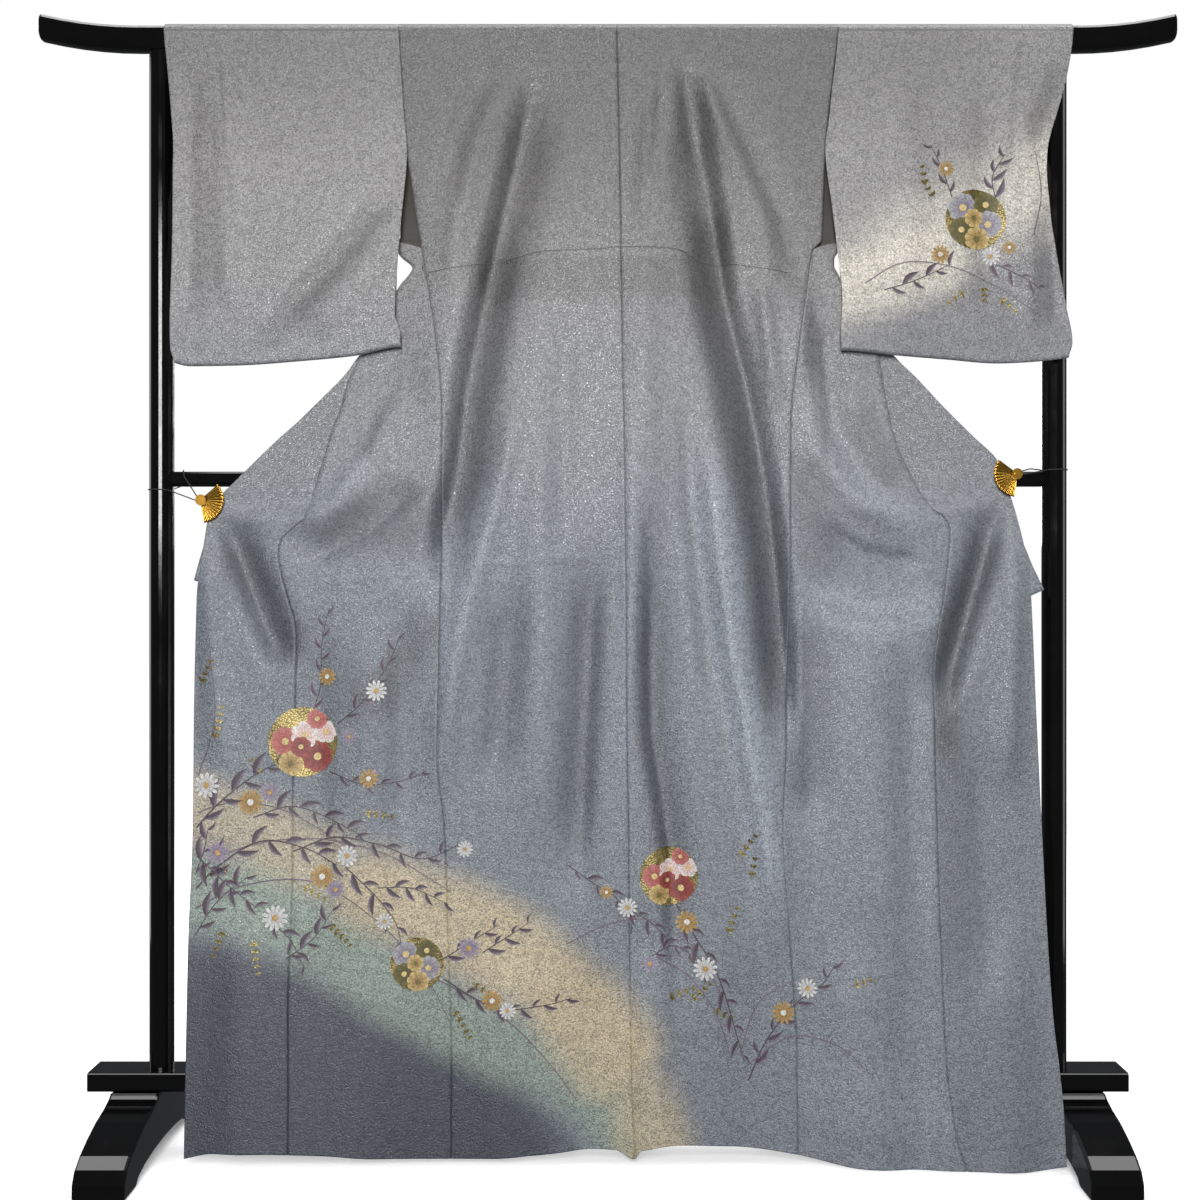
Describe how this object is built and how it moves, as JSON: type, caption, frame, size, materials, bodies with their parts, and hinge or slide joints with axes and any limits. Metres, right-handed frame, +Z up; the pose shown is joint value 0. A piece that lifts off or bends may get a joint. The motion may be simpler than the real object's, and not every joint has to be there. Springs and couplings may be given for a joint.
{
  "type": "kimono on a kimono stand",
  "caption": "Grey-blue figured silk visiting kimono shown from the back, draped over the bar of a black lacquered stand with both fronts opened out and clipped to the posts.",
  "frame": {"origin": "on the floor, below the middle of the stand's top bar", "axes": "+X to the right for a viewer facing the back of the kimono, +Y away from that viewer, +Z up"},
  "size_m": [1.672, 0.418, 1.6751],
  "materials": {
    "black_lacquer": "gloss",
    "figured_silk": "satin",
    "collar_silk": "satin",
    "gilt_metal": "polished",
    "dark_cord": "matte"
  },
  "bodies": {
    "root": {"back_left": "figured_silk", "back_right": "figured_silk", "front_left": "figured_silk", "front_right": "figured_silk", "okumi_left": "figured_silk", "okumi_right": "figured_silk", "sleeve_left": "figured_silk", "sleeve_right": "figured_silk", "collar": "collar_silk", "top_bar": "black_lacquer", "post_left": "black_lacquer", "post_right": "black_lacquer", "middle_rail": "black_lacquer", "plank": "black_lacquer", "foot_left": "black_lacquer", "foot_right": "black_lacquer", "fan_clip_left": "gilt_metal", "fan_clip_right": "gilt_metal", "tie_left": "dark_cord", "tie_right": "dark_cord"}
  },
  "joints": []
}
